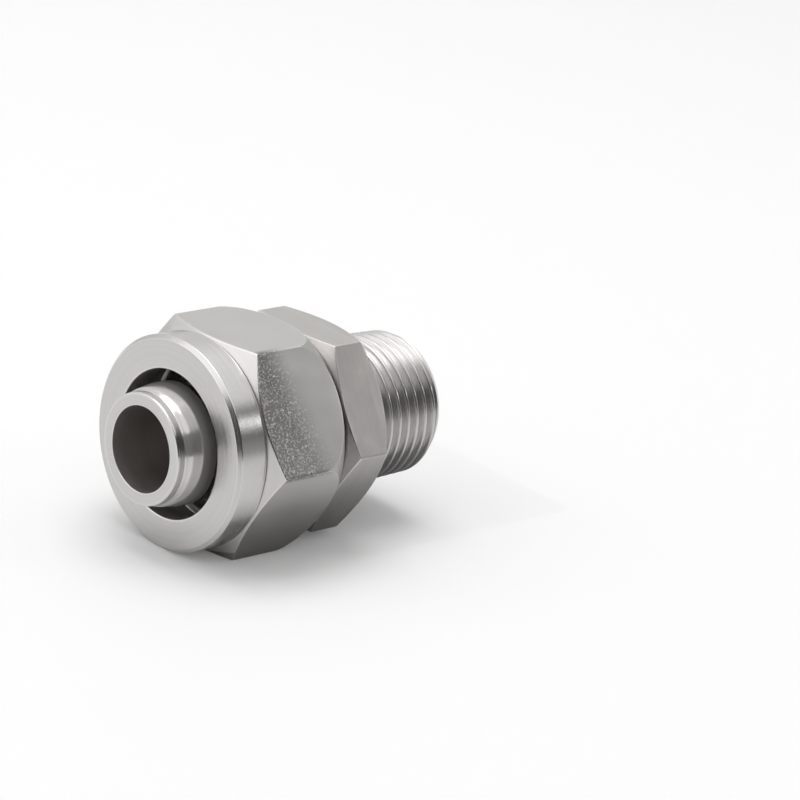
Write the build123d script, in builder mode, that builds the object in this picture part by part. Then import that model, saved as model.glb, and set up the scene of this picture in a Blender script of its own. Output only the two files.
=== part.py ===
# Push-on tube fitting with a clamping nut and a tapered male pipe thread.
#
# The axis of the fitting lies along X. The origin is on that axis, at the shoulder where the body's
# hexagon meets the pipe thread. +X points out of the pipe thread, -X out of the tube spigot, +Z is up.
# The fitting lies on a flat of its nut, so the flats of both hexagons face up and down.
# Every length is in millimetres. The threads are plain surfaces at their crests.
import os
from math import cos, radians, tan

from build123d import *

# The tube that the fitting takes
tube_outside = 16.0
tube_inside = 13.0

# Hexagons, across their flats
nut_across_flats = 24.0
hexagon_across_flats = 22.0

# Lengths along the axis, with the nut screwed home
spigot_projection = 3.7
nut_length = 15.9
nut_gap = 0.4
hexagon_thickness = 6.0
pipe_thread_length = 11.6

# Tapered pipe thread, size 3/8, with a taper of 1 in 16
pipe_gauge_diameter = 16.662
pipe_gauge_length = 6.35
pipe_taper = 1 / 16
pipe_lead_chamfer = 0.9
pipe_lead_angle = 35.0
pipe_neck_length = 1.0
pipe_neck_depth = 0.45

# Waterway through the body
spigot_bore = 9.6
port_bore = 11.4
port_bore_depth = 13.5
port_cone_angle = 30.0
port_lip = 0.5

# Spigot that the tube is pushed on
tip_clearance = 0.25
tip_length = 1.0
tip_break = 0.15
ridge_grip = 0.3
ridge_rise = 0.55
ridge_length = 3.3
ridge_fall = 1.2
barrel_clearance = 0.05

# Thread that carries the nut
nut_thread_diameter = 20.0
nut_thread_length = 8.2
nut_thread_chamfer = 0.6
nut_thread_neck_length = 1.1
nut_thread_neck_depth = 0.7
nut_thread_clearance = 0.05

# Outside of the nut
collar_diameter = 24.0
collar_length = 3.6
collar_chamfer = 0.45
collar_groove_width = 0.35
collar_groove_depth = 0.3
nut_face_margin = 0.3
nut_front_chamfer_angle = 30.0
nut_crown_radius = 6.0
nut_crown_length = 5.1

# Inside of the nut
mouth_clearance = 0.3
mouth_length = 2.6
mouth_break = 0.2
clamp_cone_length = 1.7
nut_cavity_diameter = 18.9
nut_thread_overrun = 1.0
nut_entry_chamfer = 0.35

# Outside of the body's hexagon
hexagon_face_margin = 0.25
hexagon_front_chamfer_angle = 22.0
hexagon_rear_chamfer_angle = 36.0

# Places along the axis
hexagon_front = -hexagon_thickness
nut_rear = hexagon_front - nut_gap
nut_front = nut_rear - nut_length
spigot_tip = nut_front - spigot_projection
nut_thread_front = hexagon_front - nut_thread_neck_length - nut_thread_length
pipe_thread_end = pipe_thread_length

# Radii
nut_corner_radius = nut_across_flats / 2 / cos(radians(30))
hexagon_corner_radius = hexagon_across_flats / 2 / cos(radians(30))
hexagon_face_radius = hexagon_across_flats / 2 - hexagon_face_margin
tip_radius = tube_inside / 2 - tip_clearance
ridge_radius = tube_inside / 2 + ridge_grip
barrel_radius = tube_inside / 2 - barrel_clearance
nut_thread_radius = nut_thread_diameter / 2
mouth_radius = tube_outside / 2 + mouth_clearance


def pipe_crest_radius(x):
    """Radius of the pipe thread's crests at a place on the axis."""
    return pipe_gauge_diameter / 2 + (pipe_thread_end - pipe_gauge_length - x) * pipe_taper / 2


# Fitting body: spigot, thread for the nut, hexagon, pipe thread and waterway, turned from one bar
front_chamfer_run = (hexagon_corner_radius - hexagon_face_radius) * tan(radians(hexagon_front_chamfer_angle))
rear_chamfer_run = (hexagon_corner_radius - hexagon_face_radius) * tan(radians(hexagon_rear_chamfer_angle))
ridge_start = spigot_tip + tip_length + ridge_rise
ridge_end = ridge_start + ridge_length
neck_radius = nut_thread_radius - nut_thread_neck_depth
pipe_neck_radius = pipe_crest_radius(0) - pipe_neck_depth
lead_run = pipe_lead_chamfer / tan(radians(pipe_lead_angle))
port_floor = pipe_thread_end - port_bore_depth
port_cone_run = (port_bore - spigot_bore) / 2 / tan(radians(port_cone_angle))

with BuildPart() as fitting_body:
    # Hexagon with both faces chamfered
    with BuildSketch(Plane.YZ.offset(hexagon_front)):
        RegularPolygon(hexagon_across_flats / 2, 6, major_radius=False)
    extrude(amount=hexagon_thickness)
    with BuildSketch(Plane.XZ):
        with BuildLine():
            Polyline(
                (hexagon_front, 0),
                (hexagon_front, hexagon_face_radius),
                (hexagon_front + front_chamfer_run, hexagon_corner_radius),
                (-rear_chamfer_run, hexagon_corner_radius),
                (0, hexagon_face_radius),
                (0, 0),
                close=True,
            )
        make_face()
    revolve(axis=Axis.X, mode=Mode.INTERSECT)

    # Spigot and the thread for the nut
    with BuildSketch(Plane.XZ):
        with BuildLine():
            Polyline(
                (spigot_tip, 0),
                (spigot_tip, tip_radius - tip_break),
                (spigot_tip + tip_break, tip_radius),
                (spigot_tip + tip_length, tip_radius),
                (ridge_start, ridge_radius),
                (ridge_end, ridge_radius),
                (ridge_end + ridge_fall, barrel_radius),
                (nut_thread_front, barrel_radius),
                (nut_thread_front, nut_thread_radius - nut_thread_chamfer),
                (nut_thread_front + nut_thread_chamfer, nut_thread_radius),
                (hexagon_front - nut_thread_neck_length, nut_thread_radius),
                (hexagon_front - nut_thread_neck_length + nut_thread_neck_depth / 2, neck_radius),
                (hexagon_front, neck_radius),
                (hexagon_front, 0),
                close=True,
            )
        make_face()
    revolve(axis=Axis.X)

    # Pipe thread with its neck at the hexagon and its lead at the end
    with BuildSketch(Plane.XZ):
        with BuildLine():
            Polyline(
                (0, 0),
                (0, pipe_neck_radius),
                (pipe_neck_length - pipe_neck_depth, pipe_neck_radius),
                (pipe_neck_length, pipe_crest_radius(pipe_neck_length)),
                (pipe_thread_end - lead_run, pipe_crest_radius(pipe_thread_end - lead_run)),
                (pipe_thread_end, pipe_crest_radius(pipe_thread_end) - pipe_lead_chamfer),
                (pipe_thread_end, 0),
                close=True,
            )
        make_face()
    revolve(axis=Axis.X)

    # Waterway, wider behind the pipe thread
    with BuildSketch(Plane.XZ):
        with BuildLine():
            Polyline(
                (spigot_tip, 0),
                (spigot_tip, spigot_bore / 2),
                (port_floor - port_cone_run, spigot_bore / 2),
                (port_floor, port_bore / 2),
                (pipe_thread_end - port_lip, port_bore / 2),
                (pipe_thread_end, port_bore / 2 + port_lip),
                (pipe_thread_end, 0),
                close=True,
            )
        make_face()
    revolve(axis=Axis.X, mode=Mode.SUBTRACT)

# Clamp nut: a round collar and a crowned hexagon around the tube's mouth and the nut's thread
collar_radius = collar_diameter / 2
groove_start = nut_front + collar_length
nut_hexagon_front = groove_start + collar_groove_width
groove_radius = collar_radius - collar_groove_depth
nut_face_radius = nut_across_flats / 2 - nut_face_margin
nut_front_chamfer_run = (nut_corner_radius - nut_face_radius) * tan(radians(nut_front_chamfer_angle))
crown_start = nut_rear - nut_crown_length
crown_drop = nut_crown_radius - (nut_crown_radius**2 - nut_crown_length**2) ** 0.5
nut_bore_radius = nut_thread_radius + nut_thread_clearance
cavity_radius = nut_cavity_diameter / 2
cone_start = nut_front + mouth_length
nut_bore_front = nut_thread_front - nut_thread_overrun

with BuildPart() as clamp_nut:
    # Hexagon with a chamfer towards the collar and a crown towards the body
    with BuildSketch(Plane.YZ.offset(nut_hexagon_front)):
        RegularPolygon(nut_across_flats / 2, 6, major_radius=False)
    extrude(amount=nut_rear - nut_hexagon_front)
    with BuildSketch(Plane.XZ):
        with BuildLine():
            Polyline(
                (nut_rear, nut_corner_radius - crown_drop),
                (nut_rear, 0),
                (nut_hexagon_front, 0),
                (nut_hexagon_front, nut_face_radius),
                (nut_hexagon_front + nut_front_chamfer_run, nut_corner_radius),
                (crown_start, nut_corner_radius),
            )
            RadiusArc(
                (crown_start, nut_corner_radius),
                (nut_rear, nut_corner_radius - crown_drop),
                nut_crown_radius,
            )
        make_face()
    revolve(axis=Axis.X, mode=Mode.INTERSECT)

    # Collar, with a narrow groove where it meets the hexagon
    with BuildSketch(Plane.XZ):
        with BuildLine():
            Polyline(
                (nut_front, 0),
                (nut_front, collar_radius - collar_chamfer),
                (nut_front + collar_chamfer, collar_radius),
                (groove_start, collar_radius),
                (groove_start, groove_radius),
                (nut_hexagon_front, groove_radius),
                (nut_hexagon_front, 0),
                close=True,
            )
        make_face()
    revolve(axis=Axis.X)

    # Mouth for the tube, clamping cone, cavity and thread
    with BuildSketch(Plane.XZ):
        with BuildLine():
            Polyline(
                (nut_front, 0),
                (nut_front, mouth_radius + mouth_break),
                (nut_front + mouth_break, mouth_radius),
                (cone_start, mouth_radius),
                (cone_start + clamp_cone_length, cavity_radius),
                (nut_bore_front, cavity_radius),
                (nut_bore_front, nut_bore_radius),
                (nut_rear - nut_entry_chamfer, nut_bore_radius),
                (nut_rear, nut_bore_radius + nut_entry_chamfer),
                (nut_rear, 0),
                close=True,
            )
        make_face()
    revolve(axis=Axis.X, mode=Mode.SUBTRACT)

os.makedirs("parts", exist_ok=True)
fitting_body.part.label = "fitting_body"
export_step(fitting_body.part, "parts/fitting_body.step")
clamp_nut.part.label = "clamp_nut"
export_step(clamp_nut.part, "parts/clamp_nut.step")
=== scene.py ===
from math import cos, pi, radians, sin, sqrt, tan

import bmesh
import bpy
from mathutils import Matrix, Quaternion, Vector


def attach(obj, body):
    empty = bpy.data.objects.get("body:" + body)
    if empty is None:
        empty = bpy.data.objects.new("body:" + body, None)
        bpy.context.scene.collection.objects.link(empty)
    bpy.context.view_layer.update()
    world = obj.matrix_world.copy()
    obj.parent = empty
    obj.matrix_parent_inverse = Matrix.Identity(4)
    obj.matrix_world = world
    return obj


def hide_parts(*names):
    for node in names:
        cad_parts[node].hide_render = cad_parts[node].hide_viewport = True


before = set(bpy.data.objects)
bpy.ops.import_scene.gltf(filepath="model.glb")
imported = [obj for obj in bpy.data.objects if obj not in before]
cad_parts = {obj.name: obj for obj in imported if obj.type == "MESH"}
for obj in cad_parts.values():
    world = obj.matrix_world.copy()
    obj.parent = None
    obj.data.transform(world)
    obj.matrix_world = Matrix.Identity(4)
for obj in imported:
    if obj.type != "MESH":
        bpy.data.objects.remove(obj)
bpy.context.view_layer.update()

# Table and studio. The fitting lies on a plain white table in a white room, with a flat of its nut down.
# A large soft light stands on the left, one hangs overhead and a small one stands on the right. The dark
# walls and the pale backdrop are there only for the steel to reflect, and the grey sheet under the fitting
# is painted shade that the steel reflects in place of the fitting's own shadow on the table.
mm = 0.001
table_top = -12.0 * mm
table_reach = 4.0
table_glow_to_camera = 0.08
shade_lift = 0.1 * mm
shade_rear, shade_front = -18.0 * mm, 30.0 * mm
shade_right, shade_left = -12.5 * mm, 12.0 * mm
wall_distance = 0.45
wall_panels = 24
room_light = 0.55
room_white = 1.0


def make_object(name, content):
    """An object in the scene that holds a mesh, a lamp or a camera."""
    made = bpy.data.objects.new(name, content)
    bpy.context.scene.collection.objects.link(made)
    return made


def place_node(tree, kind, **settings):
    """A new node of the tree with its settings, such as the operation, set by name."""
    made = tree.nodes.new(kind)
    for setting, value in settings.items():
        setattr(made, setting, value)
    return made


def plain_material(name, colour, roughness):
    """A plain painted surface of the studio."""
    material = bpy.data.materials.new(name)
    material.use_nodes = True
    shader = material.node_tree.nodes["Principled BSDF"]
    shader.inputs["Base Color"].default_value = (*colour, 1.0)
    shader.inputs["Roughness"].default_value = roughness
    return material


def flat_sheet(name, corners, material):
    """A flat sheet of the studio through its corners."""
    mesh = bpy.data.meshes.new(name)
    mesh.from_pydata(corners, [], [range(len(corners))])
    mesh.materials.append(material)
    sheet = make_object(name, mesh)
    return sheet


# the table glows a little for the camera alone, which makes it as white as the background
white_table = plain_material("white_table", (0.93, 0.93, 0.93), 0.6)
table_shader = white_table.node_tree.nodes["Principled BSDF"]
table_shader.inputs["Emission Color"].default_value = (1.0, 1.0, 1.0, 1.0)
table_rays = place_node(white_table.node_tree, "ShaderNodeLightPath")
table_glow = place_node(white_table.node_tree, "ShaderNodeMath", operation="MULTIPLY")
table_glow.inputs[1].default_value = table_glow_to_camera
white_table.node_tree.links.new(table_rays.outputs["Is Camera Ray"], table_glow.inputs[0])
white_table.node_tree.links.new(table_glow.outputs[0], table_shader.inputs["Emission Strength"])
flat_sheet(
    "table",
    [(x * table_reach, y * table_reach, table_top) for x, y in ((-1, -1), (1, -1), (1, 1), (-1, 1))],
    white_table,
)

# painted shade: a grey sheet seen only in the steel's reflections, standing for the fitting's own shadow on
# the table beneath it
shade_height = table_top + shade_lift
shade = flat_sheet(
    "reflected_shade",
    [
        (shade_rear, shade_right, shade_height),
        (shade_front, shade_right, shade_height),
        (shade_front, shade_left, shade_height),
        (shade_rear, shade_left, shade_height),
    ],
    plain_material("reflected_shade", (0.42, 0.42, 0.42), 1.0),
)
shade.visible_camera = False
shade.visible_diffuse = False
shade.visible_shadow = False

for name, start_angle, end_angle, low, high, grey in (
    ("open_room_skirting", 290.0, 352.0, table_top, 0.10, 0.34),
    ("open_room_wall", 290.0, 352.0, 0.10, 0.34, 0.04),
    ("camera_side_wall", 182.0, 290.0, table_top, 0.34, 0.04),
    ("pale_backdrop", 352.0, 465.0, table_top, 0.40, 0.87),
):
    edge = []
    for panel in range(wall_panels + 1):
        angle = radians(start_angle + (end_angle - start_angle) * panel / wall_panels)
        edge += [(wall_distance * cos(angle), wall_distance * sin(angle), z) for z in (low, high)]
    wall_mesh = bpy.data.meshes.new(name)
    wall_mesh.from_pydata(edge, [], [(2 * i, 2 * i + 2, 2 * i + 3, 2 * i + 1) for i in range(wall_panels)])
    wall_mesh.materials.append(plain_material(name, (grey, grey, grey), 1.0))
    wall = make_object(name, wall_mesh)
    wall.visible_camera = False
    wall.visible_diffuse = False
    wall.visible_shadow = False

# the room looks full white to the camera and in the steel, and lights the rest more softly
world = bpy.data.worlds.new("white_room")
world.use_nodes = True
bpy.context.scene.world = world
room = world.node_tree
rays = place_node(room, "ShaderNodeLightPath")
seen = place_node(room, "ShaderNodeMath", operation="MAXIMUM")
level = place_node(room, "ShaderNodeMapRange")
room.links.new(rays.outputs["Is Camera Ray"], seen.inputs[0])
room.links.new(rays.outputs["Is Glossy Ray"], seen.inputs[1])
room.links.new(seen.outputs[0], level.inputs["Value"])
level.inputs["To Min"].default_value = room_light
level.inputs["To Max"].default_value = room_white
room.links.new(level.outputs["Result"], room.nodes["Background"].inputs["Strength"])
room.nodes["Background"].inputs["Color"].default_value = (1.0, 1.0, 1.0, 1.0)


def soft_light(name, place, width, height, power):
    """A rectangular lamp that faces the fitting. Lengths are in metres, the power in watts."""
    lamp = bpy.data.lights.new(name, "AREA")
    lamp.shape = "RECTANGLE"
    lamp.size = width
    lamp.size_y = height
    lamp.energy = power
    light = make_object(name, lamp)
    light.location = place
    light.rotation_mode = "QUATERNION"
    light.rotation_quaternion = (-Vector(place)).to_track_quat("-Z", "Y")


soft_light("left_light", (-0.55, 0.16, 0.38), 0.90, 0.70, 0.9)
soft_light("overhead_light", (0.05, 0.10, 0.70), 0.50, 0.50, 2.1)
soft_light("right_light", (0.30, -0.29, 0.185), 0.09, 0.05, 0.056)

camera_place = (-293.82 * mm, -301.56 * mm, 152.41 * mm)
camera_heading = radians(45.44)
camera_dip = radians(19.55)
camera_roll = radians(7.62)
level_reach = cos(camera_dip)
looking = Vector((sin(camera_heading) * level_reach, cos(camera_heading) * level_reach, -sin(camera_dip)))
camera = make_object("camera", bpy.data.cameras.new("camera"))
camera.data.sensor_width = 36.0
camera.data.lens = 180.0
camera.data.clip_start = 0.01
camera.data.clip_end = 20.0
camera.location = camera_place
camera.rotation_mode = "QUATERNION"
camera.rotation_quaternion = looking.to_track_quat("-Z", "Y") @ Quaternion((0.0, 0.0, 1.0), camera_roll)
bpy.context.scene.camera = camera
bpy.context.scene.view_settings.view_transform = "Standard"

# Fitting body, turned from one hexagonal bar of stainless steel: a ridged spigot for the tube, a core
# for the nut's thread, the spanner hexagon and a core for the pipe thread, with the waterway bored through.
# Its turned faces keep the lathe's fine rings and its flats have fine milling lines across the bar.
spigot_tip = -26.0 * mm
tip_radius = 6.25 * mm
tip_land_end = -25.0 * mm
ridge_start = -24.45 * mm
ridge_start_radius = 6.53 * mm
ridge_top = -22.5 * mm
ridge_end = -21.15 * mm
ridge_radius = 6.85 * mm
barrel_start = -19.95 * mm
barrel_radius = 6.45 * mm
spigot_bore = 4.8 * mm
nut_thread_front = -15.3 * mm
nut_thread_end = -7.1 * mm
nut_thread_core = 9.2 * mm
neck_slope_start = nut_thread_end + 0.1 * mm
neck_start = nut_thread_end + 0.35 * mm
neck_radius = 9.3 * mm
body_hexagon_front = -6.0 * mm
body_across_flats = 22.0 * mm
body_face_radius = 10.75 * mm
front_chamfer_angle = radians(22.0)
rear_chamfer_angle = radians(36.0)
pipe_neck_radius = 8.05 * mm
pipe_neck_length = 0.55 * mm
pipe_thread_end = 11.6 * mm
pipe_thread_core = 7.1 * mm
pipe_core_start = pipe_neck_length + 0.4 * mm
pipe_core_end = pipe_thread_end - 0.3 * mm
pipe_lead_radius = 7.233 * mm
port_bore = 5.7 * mm
port_lip = 0.5 * mm
port_floor = -1.9 * mm
port_cone_start = -3.46 * mm
edge_round = 0.09 * mm
tip_round = 0.16 * mm
ridge_start_round = 0.20 * mm
ridge_top_round = 0.60 * mm
hexagon_edge_round = 0.2 * mm
ease_steps = 4
ease_share = 0.35
hold_reach = 2.4
hold_share = 0.47
weld_distance = 2e-7


def hexagon_radius(angle, across_flats, rounding):
    """Distance from the axis to a hexagon with rounded corners; angle 0 is the middle of a flat."""
    off_middle = abs((angle + pi / 6) % (pi / 3) - pi / 6)
    apothem = across_flats / 2
    inner = apothem - rounding
    if apothem * tan(off_middle) <= inner * tan(pi / 6):
        return apothem / cos(off_middle)
    corner = inner / cos(pi / 6)
    off_corner = pi / 6 - off_middle
    return corner * cos(off_corner) + sqrt(rounding**2 - (corner * sin(off_corner)) ** 2)


def hexagon_columns(across_flats, rounding):
    """Angles round the axis, close together at the hexagon's corners."""
    half_flat = (across_flats / 2 - rounding) * tan(pi / 6)
    tangent = Vector((1.0, 0.0)).angle(Vector((across_flats / 2, half_flat)))
    spare = pi / 6 - tangent
    sector = [-pi / 6, -pi / 6 + spare / 2, -tangent, -tangent + spare]
    steps = 24
    reach = tangent - 3 * spare
    sector += [-reach + 2 * reach * i / steps for i in range(steps + 1)]
    sector += [tangent - spare, tangent, pi / 6 - spare / 2]
    return [a + k * pi / 3 for k in range(6) for a in sector]


def eased_outline(outline):
    """A closed outline of (x, radius, setback, finish) with each corner eased over its setback.

    A point on either side of the curve holds the face beside it flat. Returns points of (x, radius, finish
    of the face that follows, 1 on the eased curve for the painted edge highlight and 0 elsewhere). Outlines
    of one layout give the same number of points."""
    eased = []
    for i, (x, radius, setback, finish) in enumerate(outline):
        here = Vector((x, radius))
        if setback == 0:
            eased.append((x, radius, finish, 0.0))
            continue
        finish_before = outline[i - 1][3]
        back = Vector(outline[i - 1][:2]) - here
        on = Vector(outline[(i + 1) % len(outline)][:2]) - here
        start = here + back.normalized() * min(setback, ease_share * back.length)
        end = here + on.normalized() * min(setback, ease_share * on.length)
        hold_back = here + back.normalized() * min(hold_reach * setback, hold_share * back.length)
        hold_on = here + on.normalized() * min(hold_reach * setback, hold_share * on.length)
        eased.append((*hold_back, finish_before, 0.0))
        for step in range(ease_steps + 1):
            t = step / ease_steps
            point = start * (1 - t) ** 2 + here * 2 * t * (1 - t) + end * t**2
            eased.append((*point, finish_before if 2 * step < ease_steps else finish, 1.0))
        eased.append((*hold_on, finish, 0.0))
    return eased


def turned_piece(name, columns, outline_at, materials):
    """A closed piece round the X axis from one eased outline for each column angle."""
    points, edge_flags, faces, finishes = [], [], [], []
    for angle in columns:
        for x, radius, finish, edge_flag in eased_outline(outline_at(angle)):
            points.append((x, radius * sin(angle), radius * cos(angle)))
            edge_flags.append(edge_flag)
            finishes.append(finish)
    rows = len(points) // len(columns)
    face_finishes = []
    for c in range(len(columns)):
        beside = (c + 1) % len(columns)
        for r in range(rows):
            above = (r + 1) % rows
            faces.append((c * rows + r, c * rows + above, beside * rows + above, beside * rows + r))
            face_finishes.append(finishes[r])
    mesh = bpy.data.meshes.new(name)
    mesh.from_pydata(points, [], faces)
    for material in materials:
        mesh.materials.append(material)
    mesh.polygons.foreach_set("material_index", face_finishes)
    # marks the eased edges that get a painted highlight
    mesh.attributes.new("eased_edge", "FLOAT", "POINT").data.foreach_set("value", edge_flags)
    close_and_smooth(mesh)
    return make_object(name, mesh)


def close_and_smooth(mesh):
    """Merges doubles, turns every face outwards and shades them smooth."""
    shell = bmesh.new()
    shell.from_mesh(mesh)
    bmesh.ops.remove_doubles(shell, verts=shell.verts, dist=weld_distance)
    bmesh.ops.recalc_face_normals(shell, faces=shell.faces)
    shell.to_mesh(mesh)
    shell.free()
    mesh.polygons.foreach_set("use_smooth", [True] * len(mesh.polygons))


def new_group(name, inputs, outputs):
    """A shader group with named inputs and outputs; returns it with its input and output nodes."""
    group = bpy.data.node_groups.new(name, "ShaderNodeTree")
    for label, value in inputs:
        socket = group.interface.new_socket(label, in_out="INPUT", socket_type="NodeSocketFloat")
        socket.default_value = value
    for label in outputs:
        group.interface.new_socket(label, in_out="OUTPUT", socket_type="NodeSocketFloat")
    return group, group.nodes.new("NodeGroupInput"), group.nodes.new("NodeGroupOutput")


def joined(tree, operation, *values):
    """The result of a Math node whose inputs are sockets or numbers."""
    made = place_node(tree, "ShaderNodeMath", operation=operation)
    for socket, value in zip(made.inputs, values):
        if isinstance(value, (int, float)):
            socket.default_value = value
        else:
            tree.links.new(value, socket)
    return made.outputs[0]


def noise(tree, vector, scale, detail, roughness=0.5):
    """The value of a noise texture at a place."""
    made = place_node(tree, "ShaderNodeTexNoise", noise_dimensions="3D")
    made.inputs["Scale"].default_value = scale
    made.inputs["Detail"].default_value = detail
    made.inputs["Roughness"].default_value = roughness
    tree.links.new(vector, made.inputs["Vector"])
    return made.outputs["Fac"]


# rings that a lathe tool leaves: they follow the distance along the axis and from it
waver_scale = 180.0
streak_scale = 0.22
lathe_rings, ring_in, ring_out = new_group(
    "lathe_rings", [("Rings per mm", 9.0), ("Waver", 0.25)], ["Height", "Streak"]
)
where = place_node(lathe_rings, "ShaderNodeTexCoord")
parts = place_node(lathe_rings, "ShaderNodeSeparateXYZ")
lathe_rings.links.new(where.outputs["Object"], parts.inputs[0])
square_y = joined(lathe_rings, "MULTIPLY", parts.outputs["Y"], parts.outputs["Y"])
square_z = joined(lathe_rings, "MULTIPLY", parts.outputs["Z"], parts.outputs["Z"])
off_axis = joined(lathe_rings, "SQRT", joined(lathe_rings, "ADD", square_y, square_z))
per_metre = joined(lathe_rings, "MULTIPLY", ring_in.outputs["Rings per mm"], 1000.0)
wander = noise(lathe_rings, where.outputs["Object"], waver_scale, 1.0)
waver = joined(lathe_rings, "MULTIPLY", wander, ring_in.outputs["Waver"])
ring_place = place_node(lathe_rings, "ShaderNodeCombineXYZ")
for distance, direction in ((parts.outputs["X"], "X"), (off_axis, "Y")):
    rings = joined(lathe_rings, "MULTIPLY", distance, per_metre)
    lathe_rings.links.new(joined(lathe_rings, "ADD", rings, waver), ring_place.inputs[direction])
ring_height = noise(lathe_rings, ring_place.outputs[0], 1.0, 2.0, 0.6)
lathe_rings.links.new(ring_height, ring_out.inputs["Height"])
ring_streak = noise(lathe_rings, ring_place.outputs[0], streak_scale, 3.0, 0.6)
lathe_rings.links.new(ring_streak, ring_out.inputs["Streak"])

# milling lines on a flat: long across the bar, fine along it
line_stretch = (1000.0, 22.0, 22.0)
line_streak_scale = 0.2
mill_lines, mill_in, mill_out = new_group("mill_lines", [("Lines per mm", 7.0)], ["Height", "Streak"])
where = place_node(mill_lines, "ShaderNodeTexCoord")
stretch = place_node(mill_lines, "ShaderNodeVectorMath", operation="MULTIPLY")
stretch.inputs[1].default_value = line_stretch
mill_lines.links.new(where.outputs["Object"], stretch.inputs[0])
finer = place_node(mill_lines, "ShaderNodeVectorMath", operation="SCALE")
mill_lines.links.new(stretch.outputs[0], finer.inputs[0])
mill_lines.links.new(mill_in.outputs["Lines per mm"], finer.inputs["Scale"])
mill_lines.links.new(noise(mill_lines, finer.outputs[0], 1.0, 3.0, 0.65), mill_out.inputs["Height"])
mill_lines.links.new(noise(mill_lines, finer.outputs[0], line_streak_scale, 2.0), mill_out.inputs["Streak"])

# grain that tumbling left on one flat of the nut, smooth towards the body: its bumps are real, its bright
# specks are painted glints and the dull ground between them is painted shade of the pits
dull_ground, full_speck = 0.48, 0.74
fade_slant = 0.33
fade_start, fade_end = -13.0 * mm, -8.6 * mm
flat_direction = (0.0, -cos(pi / 6), sin(pi / 6))
below_flat, on_the_flat = 11.3 * mm, 11.9 * mm
smooth_brightness = 0.55
grain_and_glints, grain_in, grain_out = new_group(
    "grain_and_glints", [("Grains per mm", 4.2)], ["Height", "Painted Glints"]
)


def smooth_step(tree, value, low, high):
    """0 below low and 1 above high, with a smooth rise between them."""
    made = place_node(tree, "ShaderNodeMapRange", interpolation_type="SMOOTHSTEP")
    made.inputs["From Min"].default_value = low
    made.inputs["From Max"].default_value = high
    tree.links.new(value, made.inputs["Value"])
    return made.outputs["Result"]


where = place_node(grain_and_glints, "ShaderNodeTexCoord")
finer = place_node(grain_and_glints, "ShaderNodeVectorMath", operation="SCALE")
grain_and_glints.links.new(where.outputs["Object"], finer.inputs[0])
per_metre = joined(grain_and_glints, "MULTIPLY", grain_in.outputs["Grains per mm"], 1000.0)
grain_and_glints.links.new(per_metre, finer.inputs["Scale"])
specks = noise(grain_and_glints, finer.outputs[0], 1.0, 2.0, 0.7)
glint_specks = smooth_step(grain_and_glints, specks, dull_ground, full_speck)
parts = place_node(grain_and_glints, "ShaderNodeSeparateXYZ")
grain_and_glints.links.new(where.outputs["Object"], parts.inputs[0])
slant = joined(grain_and_glints, "MULTIPLY", parts.outputs["Z"], fade_slant)
slanted = joined(grain_and_glints, "ADD", parts.outputs["X"], slant)
smooth_part = smooth_step(grain_and_glints, slanted, fade_start, fade_end)
towards_flat = place_node(grain_and_glints, "ShaderNodeVectorMath", operation="DOT_PRODUCT")
towards_flat.inputs[1].default_value = flat_direction
grain_and_glints.links.new(where.outputs["Object"], towards_flat.inputs[0])
on_flat = smooth_step(grain_and_glints, towards_flat.outputs["Value"], below_flat, on_the_flat)
rough_part = joined(grain_and_glints, "SUBTRACT", 1.0, smooth_part)
grain_share = joined(grain_and_glints, "MULTIPLY", rough_part, on_flat)
smooth_share = joined(grain_and_glints, "SUBTRACT", 1.0, grain_share)
bumps = noise(grain_and_glints, finer.outputs[0], 1.3, 2.0, 0.55)
grain_height = joined(grain_and_glints, "MULTIPLY", bumps, grain_share)
grain_and_glints.links.new(grain_height, grain_out.inputs["Height"])
# painted glints and painted shade: bright specks lift the colour, and the ground between them stays dark
painted_glints = joined(grain_and_glints, "MULTIPLY", glint_specks, grain_share)
plain = joined(grain_and_glints, "MULTIPLY", smooth_share, smooth_brightness)
grain_and_glints.links.new(joined(grain_and_glints, "ADD", painted_glints, plain), grain_out.inputs["Painted Glints"])

# uneven dulling from handling, and a painted highlight on every eased edge: a lighter colour there, with a
# smoother finish
cloud_scale = 260.0
edge_polish = 0.12
edge_highlight_brightness = 1.25
handling, hand_in, hand_out = new_group(
    "handling",
    [("Roughness", 0.3), ("Spread", 0.06), ("Streak", 0.5), ("Edge", 0.5)],
    ["Roughness", "Edge"],
)
where = place_node(handling, "ShaderNodeTexCoord")
cloud = noise(handling, where.outputs["Object"], cloud_scale, 3.0)
uneven = joined(handling, "SUBTRACT", joined(handling, "ADD", cloud, hand_in.outputs["Streak"]), 1.0)
whole_spread = joined(handling, "MULTIPLY", hand_in.outputs["Spread"], 2.0)
change = joined(handling, "MULTIPLY", uneven, whole_spread)
dulled = joined(handling, "ADD", hand_in.outputs["Roughness"], change)
edge_flag = place_node(handling, "ShaderNodeAttribute", attribute_type="GEOMETRY", attribute_name="eased_edge")
edge_share = joined(handling, "MULTIPLY", edge_flag.outputs["Fac"], hand_in.outputs["Edge"])
polished = joined(handling, "MULTIPLY", edge_share, edge_polish)
handling.links.new(joined(handling, "SUBTRACT", dulled, polished), hand_out.inputs["Roughness"])
handling.links.new(edge_share, hand_out.inputs["Edge"])


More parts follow.
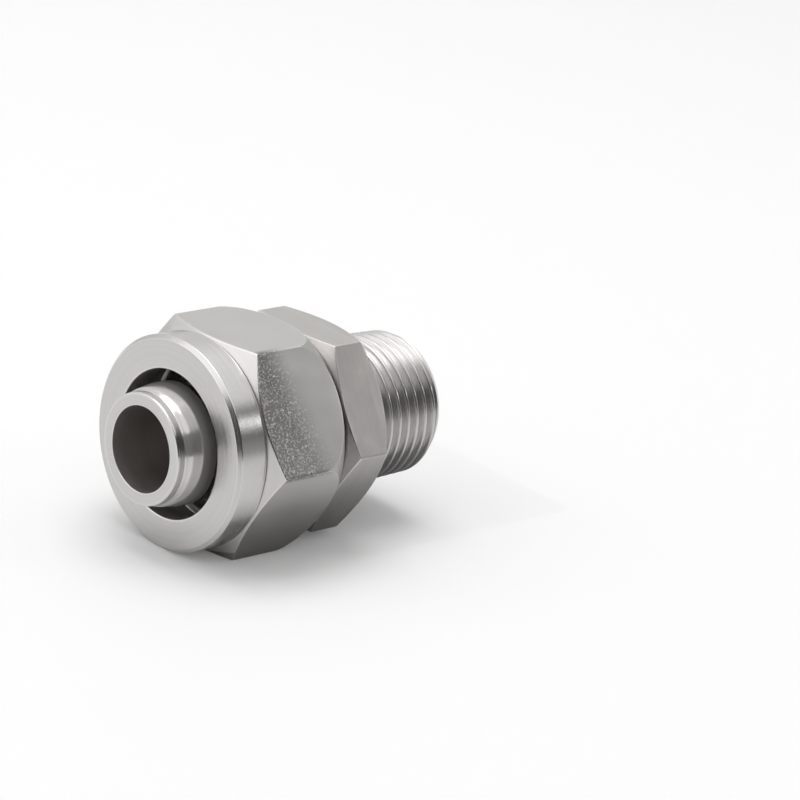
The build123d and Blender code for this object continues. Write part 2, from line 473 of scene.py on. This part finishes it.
def steel(name, colour, roughness, spread, relief, marks, dull=0.90, bright=1.10, metallic=1.0, **sizes):
    """Bare stainless steel with one kind of tool mark in it.

    spread is how far its roughness wanders, and relief is the marks' height in metres. dull and bright are
    what the marks' second output makes of the colour at its lowest and highest: streaks of tone in the
    turned and milled marks, and on the tumbled flat painted glints on a ground of painted shade. sizes sets
    the inputs of the marks."""
    material = bpy.data.materials.new(name)
    material.use_nodes = True
    tree = material.node_tree
    shader = tree.nodes["Principled BSDF"]
    shader.inputs["Metallic"].default_value = metallic
    tool = place_node(tree, "ShaderNodeGroup", node_tree=marks)
    for label, value in sizes.items():
        tool.inputs[label.replace("_", " ")].default_value = value
    streaks_and_glints = tool.outputs[1]
    handling_and_edges = place_node(tree, "ShaderNodeGroup", node_tree=handling)
    handling_and_edges.inputs["Roughness"].default_value = roughness
    handling_and_edges.inputs["Spread"].default_value = spread
    tree.links.new(streaks_and_glints, handling_and_edges.inputs["Streak"])
    tree.links.new(handling_and_edges.outputs["Roughness"], shader.inputs["Roughness"])
    tint = place_node(tree, "ShaderNodeMix", data_type="RGBA")
    tint.inputs["A"].default_value = (*(dull * c for c in colour), 1.0)
    tint.inputs["B"].default_value = (*(bright * c for c in colour), 1.0)
    tree.links.new(streaks_and_glints, tint.inputs["Factor"])
    # painted highlight: every eased edge is mixed towards a lighter steel colour
    painted_edge_highlight = place_node(tree, "ShaderNodeMix", data_type="RGBA")
    painted_edge_highlight.inputs["B"].default_value = (*(min(1.0, edge_highlight_brightness * c) for c in colour), 1.0)
    tree.links.new(tint.outputs["Result"], painted_edge_highlight.inputs["A"])
    tree.links.new(handling_and_edges.outputs["Edge"], painted_edge_highlight.inputs["Factor"])
    tree.links.new(painted_edge_highlight.outputs["Result"], shader.inputs["Base Color"])
    bump = place_node(tree, "ShaderNodeBump")
    bump.inputs["Strength"].default_value = 1.0
    bump.inputs["Distance"].default_value = relief
    tree.links.new(tool.outputs["Height"], bump.inputs["Height"])
    tree.links.new(bump.outputs["Normal"], shader.inputs["Normal"])
    return material


steel_colour = (0.60, 0.586, 0.58)
turned_steel = steel("turned_steel", steel_colour, 0.24, 0.07, 6e-6, lathe_rings)
milled_flats = steel(
    "milled_flats", (0.56, 0.542, 0.524), 0.38, 0.08, 9e-6, mill_lines, dull=0.78, bright=1.08
)
polished_ridge = steel(
    "polished_ridge", steel_colour, 0.20, 0.04, 4e-6, lathe_rings, metallic=0.75, Rings_per_mm=5.0
)
# painted shade: the bores are painted darker than the turned steel, for the shade inside them
shaded_bore_steel = steel("shaded_bore_steel", (0.50, 0.465, 0.45), 0.50, 0.10, 14e-6, lathe_rings, Rings_per_mm=4.0)
dull_turned = steel("dull_turned", (0.52, 0.505, 0.495), 0.42, 0.08, 8e-6, lathe_rings)

# places of these finishes in the body's list of materials
turned, flat, ridge, bored, dull_face = 0, 1, 2, 3, 4


def body_outline(angle):
    """The body's outline in the half plane at an angle round its axis."""
    hexagon = hexagon_radius(angle, body_across_flats, hexagon_edge_round)
    front_edge = body_hexagon_front + (hexagon - body_face_radius) * tan(front_chamfer_angle)
    rear_edge = -(hexagon - body_face_radius) * tan(rear_chamfer_angle)
    return [
        (spigot_tip, spigot_bore, edge_round, turned),
        (spigot_tip, tip_radius, tip_round, turned),
        (tip_land_end, tip_radius, edge_round, ridge),
        (ridge_start, ridge_start_radius, ridge_start_round, ridge),
        (ridge_top, ridge_radius, ridge_top_round, ridge),
        (ridge_end, ridge_radius, edge_round, turned),
        (barrel_start, barrel_radius, edge_round, turned),
        (nut_thread_front, barrel_radius, edge_round, turned),
        (nut_thread_front, nut_thread_core, 0.0, turned),
        (neck_slope_start, nut_thread_core, 0.0, turned),
        (neck_start, neck_radius, 0.0, turned),
        (body_hexagon_front, neck_radius, edge_round, turned),
        (body_hexagon_front, body_face_radius, edge_round, turned),
        (front_edge, hexagon, edge_round, flat),
        (rear_edge, hexagon, edge_round, dull_face),
        (0.0, body_face_radius, edge_round, turned),
        (0.0, pipe_neck_radius, edge_round, turned),
        (pipe_neck_length, pipe_neck_radius, edge_round, turned),
        (pipe_core_start, pipe_thread_core, 0.0, turned),
        (pipe_core_end, pipe_thread_core, 0.0, turned),
        (pipe_thread_end, pipe_lead_radius, edge_round, turned),
        (pipe_thread_end, port_bore + port_lip, edge_round, turned),
        (pipe_thread_end - port_lip, port_bore, edge_round, bored),
        (port_floor, port_bore, edge_round, bored),
        (port_cone_start, spigot_bore, edge_round, bored),
    ]


body = turned_piece(
    "fitting_body_steel",
    hexagon_columns(body_across_flats, hexagon_edge_round),
    body_outline,
    [turned_steel, milled_flats, polished_ridge, shaded_bore_steel, dull_turned],
)
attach(body, "body")
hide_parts("fitting_body")

# Pipe thread, cut with a single-point tool on a taper of 1 in 16 and chamfered at its lead.
# It runs out shallower towards the hexagon. One tree makes it and both threads of the nut.
pipe_pitch = 1.337 * mm
pipe_thread_start = 0.5 * mm
pipe_taper_on_radius = 1 / 32
pipe_lead_angle = radians(35.0)
clear_of_face = 0.01 * mm
seam_distance = 5e-7


def build_thread_tree():
    """A tree that bends a grid round the X axis into a closed ring with a helical thread on it."""
    tree = bpy.data.node_groups.new("helical_thread", "GeometryNodeTree")
    tree.interface.new_socket("Geometry", in_out="INPUT", socket_type="NodeSocketGeometry")
    for label, value in (
        ("Start", 0.0),
        ("End", 0.01),
        ("Pitch", 0.001),
        ("Crest Radius", 0.01),
        ("Taper", 0.0),
        ("Depth", 0.0006),
        ("Crest Share", 0.2),
        ("Root Share", 0.2),
        ("Phase", 0.0),
        ("Start Radius", 0.02),
        ("Start Slope", 1.0),
        ("End Radius", 0.02),
        ("End Slope", 1.0),
        ("Fade Length", 0.0),
        ("Back Radius", 0.008),
        ("Side", 1.0),
    ):
        size = tree.interface.new_socket(label, in_out="INPUT", socket_type="NodeSocketFloat")
        size.default_value = value
    for label, value in (("Columns", 192), ("Rows per Turn", 20)):
        number = tree.interface.new_socket(label, in_out="INPUT", socket_type="NodeSocketInt")
        number.default_value = value
    tree.interface.new_socket("Material", in_out="INPUT", socket_type="NodeSocketMaterial")
    tree.interface.new_socket("Geometry", in_out="OUTPUT", socket_type="NodeSocketGeometry")
    given = tree.nodes.new("NodeGroupInput").outputs

    def calc(operation, *values):
        return joined(tree, operation, *values)

    length = calc("SUBTRACT", given["End"], given["Start"])
    turns = calc("ADD", calc("CEIL", calc("DIVIDE", length, given["Pitch"])), 1.0)
    thread_rows = calc("ADD", calc("MULTIPLY", turns, given["Rows per Turn"]), 1.0)
    grid = place_node(tree, "GeometryNodeMeshGrid")
    grid.inputs["Size X"].default_value = 1.0
    grid.inputs["Size Y"].default_value = 1.0
    tree.links.new(calc("ADD", given["Columns"], 1.0), grid.inputs["Vertices X"])
    tree.links.new(calc("ADD", thread_rows, 3.0), grid.inputs["Vertices Y"])
    place = place_node(tree, "ShaderNodeSeparateXYZ")
    tree.links.new(place_node(tree, "GeometryNodeInputPosition").outputs[0], place.inputs[0])
    around = calc("ADD", place.outputs["X"], 0.5)
    row_steps = calc("ADD", thread_rows, 2.0)
    rows_up = calc("MULTIPLY", calc("ADD", place.outputs["Y"], 0.5), row_steps)
    row = calc("SUBTRACT", calc("ROUND", rows_up), 1.0)
    along = calc("ADD", calc("SUBTRACT", calc("DIVIDE", row, given["Rows per Turn"]), 1.0), around)
    free_x = calc("ADD", given["Start"], calc("MULTIPLY", along, given["Pitch"]))
    x = calc("MINIMUM", calc("MAXIMUM", free_x, given["Start"]), given["End"])
    from_start = calc("SUBTRACT", x, given["Start"])
    to_end = calc("SUBTRACT", given["End"], x)

    # height of the ridge: flat crest, straight flanks, flat root
    pitches = calc("DIVIDE", from_start, given["Pitch"])
    turn_share = calc("FRACT", calc("ADD", calc("SUBTRACT", pitches, around), given["Phase"]))
    off_crest = calc("MULTIPLY", calc("ABSOLUTE", calc("SUBTRACT", turn_share, 0.5)), 2.0)
    flank = calc("SUBTRACT", calc("SUBTRACT", 1.0, given["Crest Share"]), given["Root Share"])
    down_flank = calc("DIVIDE", calc("SUBTRACT", off_crest, given["Crest Share"]), flank)
    cut = calc("MINIMUM", calc("MAXIMUM", down_flank, 0.0), 1.0)
    fade = calc("MINIMUM", calc("DIVIDE", from_start, calc("MAXIMUM", given["Fade Length"], 1e-6)), 1.0)
    depth = calc("MULTIPLY", calc("MULTIPLY", given["Depth"], fade), cut)
    crest = calc("ADD", given["Crest Radius"], calc("MULTIPLY", given["Taper"], from_start))
    ridge_height = calc("SUBTRACT", calc("MULTIPLY", crest, given["Side"]), depth)

    def lead_in(place_name, distance):
        """The height that the ridge may reach at a distance from the start or the end of the thread."""
        own_height = calc("MULTIPLY", given[f"{place_name} Radius"], given["Side"])
        return calc("ADD", own_height, calc("MULTIPLY", distance, given[f"{place_name} Slope"]))

    started = calc("MINIMUM", ridge_height, lead_in("Start", from_start))
    limited = calc("MINIMUM", started, lead_in("End", to_end))
    thread_radius = calc("MULTIPLY", limited, given["Side"])

    # the first row and the last two close the ring behind the thread
    before = calc("LESS_THAN", row, -0.5)
    after = calc("GREATER_THAN", row, calc("SUBTRACT", thread_rows, 0.5))
    last = calc("GREATER_THAN", row, calc("ADD", thread_rows, 0.5))
    behind = calc("MAXIMUM", before, after)
    at_start = calc("MAXIMUM", before, last)

    def choose(switch, when_off, when_on):
        """when_on where the switch is 1 and when_off where it is 0."""
        off_part = calc("MULTIPLY", when_off, calc("SUBTRACT", 1.0, switch))
        return calc("ADD", calc("MULTIPLY", when_on, switch), off_part)

    radius = choose(behind, thread_radius, given["Back Radius"])
    closed_x = choose(at_start, choose(after, x, given["End"]), given["Start"])
    angle = calc("MULTIPLY", around, 2 * pi)
    spot = place_node(tree, "ShaderNodeCombineXYZ")
    tree.links.new(closed_x, spot.inputs["X"])
    tree.links.new(calc("MULTIPLY", radius, calc("COSINE", angle)), spot.inputs["Y"])
    tree.links.new(calc("MULTIPLY", radius, calc("SINE", angle)), spot.inputs["Z"])
    moved = place_node(tree, "GeometryNodeSetPosition")
    tree.links.new(grid.outputs["Mesh"], moved.inputs["Geometry"])
    tree.links.new(spot.outputs[0], moved.inputs["Position"])
    merged = place_node(tree, "GeometryNodeMergeByDistance")
    merged.inputs["Distance"].default_value = seam_distance
    tree.links.new(moved.outputs[0], merged.inputs["Geometry"])
    real = place_node(tree, "GeometryNodeRealizeInstances")
    tree.links.new(merged.outputs[0], real.inputs["Geometry"])
    dressed = place_node(tree, "GeometryNodeSetMaterial")
    tree.links.new(real.outputs[0], dressed.inputs["Geometry"])
    tree.links.new(given["Material"], dressed.inputs["Material"])
    tree.links.new(dressed.outputs[0], tree.nodes.new("NodeGroupOutput").inputs[0])
    return tree


thread_tree = build_thread_tree()


def cut_thread(name, **sizes):
    """A plain mesh ring with a helical thread, from the tree and its named sizes."""
    carrier = make_object(name, bpy.data.meshes.new(name))
    maker = carrier.modifiers.new("thread", "NODES")
    maker.node_group = thread_tree
    sockets = {s.name: s.identifier for s in thread_tree.interface.items_tree if s.in_out == "INPUT"}
    for label, value in sizes.items():
        maker[sockets[label.replace("_", " ")]] = value
    evaluated = carrier.evaluated_get(bpy.context.evaluated_depsgraph_get())
    mesh = bpy.data.meshes.new_from_object(evaluated)
    carrier.modifiers.remove(maker)
    carrier.data = mesh
    close_and_smooth(mesh)
    return carrier


threaded_steel = steel("threaded_steel", steel_colour, 0.24, 0.06, 5e-6, lathe_rings, Rings_per_mm=7.0)
pipe_thread = cut_thread(
    "pipe_thread_steel",
    Start=pipe_thread_start,
    End=pipe_thread_end - clear_of_face,
    Pitch=pipe_pitch,
    Crest_Radius=8.485 * mm,
    Taper=-pipe_taper_on_radius,
    Depth=0.82 * mm,
    Crest_Share=0.17,
    Root_Share=0.14,
    Phase=0.85,
    Start_Radius=pipe_neck_radius,
    Start_Slope=1.0,
    End_Radius=pipe_lead_radius,
    End_Slope=tan(pipe_lead_angle),
    Fade_Length=2.2 * mm,
    Back_Radius=6.9 * mm,
    Side=1.0,
    Columns=216,
    Rows_per_Turn=24,
    Material=threaded_steel,
)
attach(pipe_thread, "body")
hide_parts("fitting_body")

# Thread that carries the nut: a fine parallel thread, cut on the body behind the spigot
# and relieved before the hexagon. The nut hides most of it until it is unscrewed.
nut_pitch = 1.0 * mm
nut_thread_radius = 10.0 * mm
body_thread = cut_thread(
    "nut_carrying_thread_steel",
    Start=nut_thread_front + clear_of_face,
    End=nut_thread_end,
    Pitch=nut_pitch,
    Crest_Radius=nut_thread_radius,
    Taper=0.0,
    Depth=0.6 * mm,
    Crest_Share=0.14,
    Root_Share=0.26,
    Phase=0.0,
    Start_Radius=9.4 * mm,
    Start_Slope=1.0,
    End_Radius=9.35 * mm,
    End_Slope=2.0,
    Fade_Length=0.0,
    Back_Radius=9.0 * mm,
    Side=1.0,
    Columns=192,
    Rows_per_Turn=18,
    Material=threaded_steel,
)
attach(body_thread, "body")
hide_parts("fitting_body")

# Clamp nut, turned and bored from hexagonal bar: a round collar, a narrow groove, a chamfered hexagon
# crowned towards the body, and inside it the tube's mouth, the clamping cone and the cavity.
# One of its flats keeps the coarse grain of barrel tumbling, with painted glints and painted shade in its
# colour, and the others are smooth.
nut_front = -22.3 * mm
nut_rear = -6.4 * mm
nut_across_flats = 24.0 * mm
collar_radius = 12.0 * mm
collar_chamfer = 0.42 * mm
collar_end = -18.7 * mm
groove_end = -18.35 * mm
groove_radius = 11.7 * mm
nut_chamfer_angle = radians(30.0)
crown_radius = 6.0 * mm
crown_length = 5.1 * mm
crown_steps = 12
mouth_radius = 8.3 * mm
cone_start = -19.7 * mm
cone_end = -18.0 * mm
cavity_radius = 9.45 * mm
nut_bore_front = -16.3 * mm
nut_bore_radius = 10.05 * mm
nut_corner_radius = nut_across_flats / 2 / cos(pi / 6)
mouth_round = 0.14 * mm
collar_round = 0.04 * mm
groove_round = 0.05 * mm
groove_floor_round = 0.03 * mm
entry_round = 0.2 * mm

# in the nut's list of materials the turned steel and the flats come first too, and then these two
crowned, inside = 2, 3


def nut_outline(angle):
    """The nut's outline in the half plane at an angle round its axis."""
    hexagon = hexagon_radius(angle, nut_across_flats, hexagon_edge_round)
    chamfer_end = groove_end + (hexagon - groove_radius) * tan(nut_chamfer_angle)
    drop = nut_corner_radius - hexagon
    crown_start = nut_rear - crown_length + sqrt(crown_radius**2 - (crown_radius - drop) ** 2)
    crown = []
    for step in range(crown_steps + 1):
        x = crown_start + (nut_rear - crown_start) * step / crown_steps
        into_crown = x - (nut_rear - crown_length)
        radius = nut_corner_radius - crown_radius + sqrt(crown_radius**2 - into_crown**2)
        setback = edge_round if step in (0, crown_steps) else 0.0
        crown.append((x, radius, setback, crowned))
    return [
        (nut_front, mouth_radius, mouth_round, turned),
        (nut_front, collar_radius - collar_chamfer, collar_round, turned),
        (nut_front + collar_chamfer, collar_radius, collar_round, turned),
        (collar_end, collar_radius, groove_round, inside),
        (collar_end, groove_radius, groove_floor_round, inside),
        (groove_end, groove_radius, groove_round, turned),
        (chamfer_end, hexagon, edge_round, flat),
        *crown,
        (nut_rear, nut_bore_radius, entry_round, inside),
        (nut_bore_front, nut_bore_radius, edge_round, inside),
        (nut_bore_front, cavity_radius, edge_round, inside),
        (cone_end, cavity_radius, edge_round, inside),
        (cone_start, mouth_radius, edge_round, inside),
    ]


# the tumbled flat's colour carries painted glints on a ground of painted shade
tumbled_flats = steel(
    "tumbled_flats", (0.55, 0.535, 0.522), 0.38, 0.08, 14e-6, grain_and_glints, dull=0.36, bright=1.55
)
# painted shade: the nut's rounded crown is the same turned steel, painted darker for the shade on it
shaded_crown_steel = steel("shaded_crown_steel", (0.44, 0.425, 0.412), 0.36, 0.08, 8e-6, lathe_rings)
# painted shade: the nut's mouth, cone, cavity, bore and groove are painted darker than its turned steel,
# for the shade in these hollows
shaded_bored_steel = steel(
    "shaded_bored_steel", (0.42, 0.40, 0.385), 0.45, 0.08, 14e-6, lathe_rings, metallic=0.85, Rings_per_mm=4.0
)
nut = turned_piece(
    "clamp_nut_steel",
    hexagon_columns(nut_across_flats, hexagon_edge_round),
    nut_outline,
    [turned_steel, tumbled_flats, shaded_crown_steel, shaded_bored_steel],
)
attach(nut, "nut")
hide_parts("clamp_nut")

# Thread inside the nut: as fine as the body's thread, and standing inwards from the wall of the nut's bore.
# It is not turned into step with the body's thread, so their ridges overlap at rest, unseen inside the nut.
inner_thread = cut_thread(
    "nut_inner_thread_steel",
    Start=nut_bore_front + 0.3 * mm,
    End=nut_rear - 0.2 * mm,
    Pitch=nut_pitch,
    Crest_Radius=9.47 * mm,
    Taper=0.0,
    Depth=0.57 * mm,
    Crest_Share=0.20,
    Root_Share=0.22,
    Phase=0.2,
    Start_Radius=9.9 * mm,
    Start_Slope=1.0,
    End_Radius=9.95 * mm,
    End_Slope=1.0,
    Fade_Length=0.0,
    Back_Radius=10.3 * mm,
    Side=-1.0,
    Columns=192,
    Rows_per_Turn=18,
    Material=threaded_steel,
)
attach(inner_thread, "nut")
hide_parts("clamp_nut")
